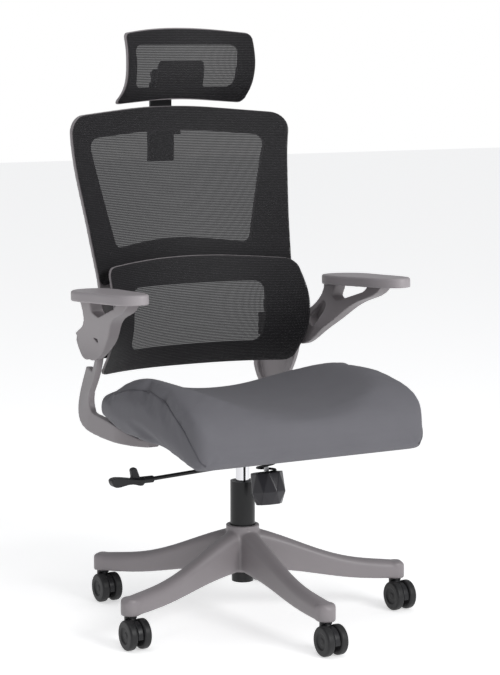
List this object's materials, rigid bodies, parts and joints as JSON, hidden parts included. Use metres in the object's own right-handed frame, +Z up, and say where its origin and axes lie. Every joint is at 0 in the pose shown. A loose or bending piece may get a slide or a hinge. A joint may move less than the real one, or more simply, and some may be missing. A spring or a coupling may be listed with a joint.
{
  "type": "mesh office chair",
  "caption": "Swivel chair with a mesh back, lumbar panel and headrest, flip-up arms, gas lift and star base on twin-wheel casters.",
  "frame": {"origin": "on the floor under the gas lift's axis", "axes": "+Z up, the chair faces -Y, the sitter's left is +X"},
  "size_m": [0.6786, 0.727, 1.183],
  "materials": {
    "grey_plastic": "warm grey moulded nylon, fine grain",
    "pad_plastic": "warm grey soft-touch pad",
    "caster_nylon": "black moulded nylon",
    "wheel_rubber": "black polyurethane tread",
    "zinc_steel": "zinc plated",
    "black_steel": "black powder coat",
    "chrome": "hard chrome",
    "black_plastic": "black glass-filled nylon",
    "seat_fabric": "smooth slate grey woven seat cloth",
    "back_mesh_fabric": "black ribbed open mesh"
  },
  "bodies": {
    "base": {"star_base": "grey_plastic", "caster_grip_rings": "zinc_steel", "lift_outer_tube": "black_steel", "lift_guide_bush": "black_plastic", "lift_thrust_bearing": "zinc_steel", "lift_retaining_clip": "zinc_steel"},
    "caster_1": {"caster_hood_1": "caster_nylon", "caster_pins_1": "zinc_steel"},
    "wheel_left_1": {"caster_wheel_left_1": "wheel_rubber"},
    "wheel_right_1": {"caster_wheel_right_1": "wheel_rubber"},
    "caster_2": {"caster_hood_2": "caster_nylon", "caster_pins_2": "zinc_steel"},
    "wheel_left_2": {"caster_wheel_left_2": "wheel_rubber"},
    "wheel_right_2": {"caster_wheel_right_2": "wheel_rubber"},
    "caster_3": {"caster_hood_3": "caster_nylon", "caster_pins_3": "zinc_steel"},
    "wheel_left_3": {"caster_wheel_left_3": "wheel_rubber"},
    "wheel_right_3": {"caster_wheel_right_3": "wheel_rubber"},
    "caster_4": {"caster_hood_4": "caster_nylon", "caster_pins_4": "zinc_steel"},
    "wheel_left_4": {"caster_wheel_left_4": "wheel_rubber"},
    "wheel_right_4": {"caster_wheel_right_4": "wheel_rubber"},
    "caster_5": {"caster_hood_5": "caster_nylon", "caster_pins_5": "zinc_steel"},
    "wheel_left_5": {"caster_wheel_left_5": "wheel_rubber"},
    "wheel_right_5": {"caster_wheel_right_5": "wheel_rubber"},
    "lift_rod": {"lift_piston_rod": "zinc_steel"},
    "mechanism": {"lift_cylinder": "chrome", "tilt_housing": "black_steel", "tilt_pivot_pin": "zinc_steel", "tension_spring": "black_steel"},
    "valve": {"lift_valve_button": "zinc_steel"},
    "lever_collar": {"lever_bush": "black_plastic"},
    "lever": {"lever_rod": "black_steel", "lever_handle": "black_plastic"},
    "seat": {"seat_plate": "black_steel", "tension_bolt": "zinc_steel", "seat_pan": "black_plastic", "seat_cushion": "seat_fabric", "seat_screws": "black_steel", "side_bar_right": "grey_plastic", "side_bar_left": "grey_plastic", "back_frame": "grey_plastic", "back_mesh": "back_mesh_fabric", "back_screws": "black_steel", "lumbar_brackets": "black_plastic", "arm_pivot_pins": "zinc_steel", "headrest_socket": "black_plastic"},
    "knob": {"tension_knob": "black_plastic"},
    "arm_right": {"arm_bracket_right": "grey_plastic", "arm_pad_right": "pad_plastic"},
    "arm_left": {"arm_bracket_left": "grey_plastic", "arm_pad_left": "pad_plastic"},
    "lumbar": {"lumbar_frame": "grey_plastic", "lumbar_mesh": "back_mesh_fabric"},
    "headrest_mount": {"headrest_post": "black_plastic", "headrest_hinge_pin": "zinc_steel"},
    "headrest": {"headrest_bracket": "black_plastic", "headrest_frame": "grey_plastic", "headrest_mesh": "back_mesh_fabric"}
  },
  "joints": [
    {"name": "caster_swivel_1", "type": "hinge", "parent": "base", "child": "caster_1", "pos_m": [0, -0.32, 0.07], "axis": [0, 0, 1], "continuous": true},
    {"name": "wheel_spin_left_1", "type": "hinge", "parent": "caster_1", "child": "wheel_left_1", "pos_m": [0, -0.339, 0.0295], "axis": [1, 0, 0], "continuous": true},
    {"name": "wheel_spin_right_1", "type": "hinge", "parent": "caster_1", "child": "wheel_right_1", "pos_m": [0, -0.339, 0.0295], "axis": [1, 0, 0], "continuous": true},
    {"name": "caster_swivel_2", "type": "hinge", "parent": "base", "child": "caster_2", "pos_m": [0.30434, -0.09889, 0.07], "axis": [0, 0, 1], "continuous": true},
    {"name": "wheel_spin_left_2", "type": "hinge", "parent": "caster_2", "child": "wheel_left_2", "pos_m": [0.30434, -0.11789, 0.0295], "axis": [1, 0, 0], "continuous": true},
    {"name": "wheel_spin_right_2", "type": "hinge", "parent": "caster_2", "child": "wheel_right_2", "pos_m": [0.30434, -0.11789, 0.0295], "axis": [1, 0, 0], "continuous": true},
    {"name": "caster_swivel_3", "type": "hinge", "parent": "base", "child": "caster_3", "pos_m": [0.18809, 0.25888, 0.07], "axis": [0, 0, 1], "continuous": true},
    {"name": "wheel_spin_left_3", "type": "hinge", "parent": "caster_3", "child": "wheel_left_3", "pos_m": [0.18809, 0.23988, 0.0295], "axis": [1, 0, 0], "continuous": true},
    {"name": "wheel_spin_right_3", "type": "hinge", "parent": "caster_3", "child": "wheel_right_3", "pos_m": [0.18809, 0.23988, 0.0295], "axis": [1, 0, 0], "continuous": true},
    {"name": "caster_swivel_4", "type": "hinge", "parent": "base", "child": "caster_4", "pos_m": [-0.18809, 0.25888, 0.07], "axis": [0, 0, 1], "continuous": true},
    {"name": "wheel_spin_left_4", "type": "hinge", "parent": "caster_4", "child": "wheel_left_4", "pos_m": [-0.18809, 0.23988, 0.0295], "axis": [1, 0, 0], "continuous": true},
    {"name": "wheel_spin_right_4", "type": "hinge", "parent": "caster_4", "child": "wheel_right_4", "pos_m": [-0.18809, 0.23988, 0.0295], "axis": [1, 0, 0], "continuous": true},
    {"name": "caster_swivel_5", "type": "hinge", "parent": "base", "child": "caster_5", "pos_m": [-0.30434, -0.09889, 0.07], "axis": [0, 0, 1], "continuous": true},
    {"name": "wheel_spin_left_5", "type": "hinge", "parent": "caster_5", "child": "wheel_left_5", "pos_m": [-0.30434, -0.11789, 0.0295], "axis": [1, 0, 0], "continuous": true},
    {"name": "wheel_spin_right_5", "type": "hinge", "parent": "caster_5", "child": "wheel_right_5", "pos_m": [-0.30434, -0.11789, 0.0295], "axis": [1, 0, 0], "continuous": true},
    {"name": "seat_swivel", "type": "hinge", "parent": "base", "child": "lift_rod", "pos_m": [0, 0, 0.1], "axis": [0, 0, 1], "continuous": true},
    {"name": "seat_height", "type": "slide", "parent": "lift_rod", "child": "mechanism", "axis": [0, 0, 1], "range_m": [-0.034, 0.06]},
    {"name": "lever_pull", "type": "slide", "parent": "mechanism", "child": "lever_collar", "axis": [-1, 0, 0], "range_m": [0, 0.01]},
    {"name": "lever_lift", "type": "hinge", "parent": "lever_collar", "child": "lever", "pos_m": [-0.055, -0.042, 0.334], "axis": [0, 1, 0], "range_deg": [0, 4], "stiffness_Nm_per_rad": 4, "springref_deg": -2.86},
    {"name": "valve_press", "type": "slide", "parent": "mechanism", "child": "valve", "axis": [0, 0, -1], "range_m": [0, 0.0047]},
    {"name": "seat_tilt", "type": "hinge", "parent": "mechanism", "child": "seat", "pos_m": [0, -0.036, 0.357], "axis": [-1, 0, 0], "range_deg": [0, 12], "stiffness_Nm_per_rad": 180, "springref_deg": -20.05, "deforming": ["tension_spring"]},
    {"name": "knob_turn", "type": "hinge", "parent": "seat", "child": "knob", "pos_m": [0, -0.101, 0.281], "axis": [0, 0.1736, 0.9848], "range_deg": [0, 720]},
    {"name": "arm_flip_right", "type": "hinge", "parent": "seat", "child": "arm_right", "pos_m": [-0.25, 0.197, 0.55], "axis": [-1, 0, 0], "range_deg": [0, 90]},
    {"name": "arm_flip_left", "type": "hinge", "parent": "seat", "child": "arm_left", "pos_m": [0.25, 0.197, 0.55], "axis": [-1, 0, 0], "range_deg": [0, 90]},
    {"name": "lumbar_slide", "type": "slide", "parent": "seat", "child": "lumbar", "axis": [0, 0, 1], "range_m": [-0.015, 0.006]},
    {"name": "headrest_height", "type": "slide", "parent": "seat", "child": "headrest_mount", "axis": [0, 0, 1], "range_m": [0, 0.05]},
    {"name": "headrest_tilt", "type": "hinge", "parent": "headrest_mount", "child": "headrest", "pos_m": [0, 0.328, 1.088], "axis": [-1, 0, 0], "range_deg": [0, 25]}
  ],
  "couplings": [
    {"joint": "valve_press", "follows": "lever_lift", "m_per_rad": 0.0665}
  ]
}
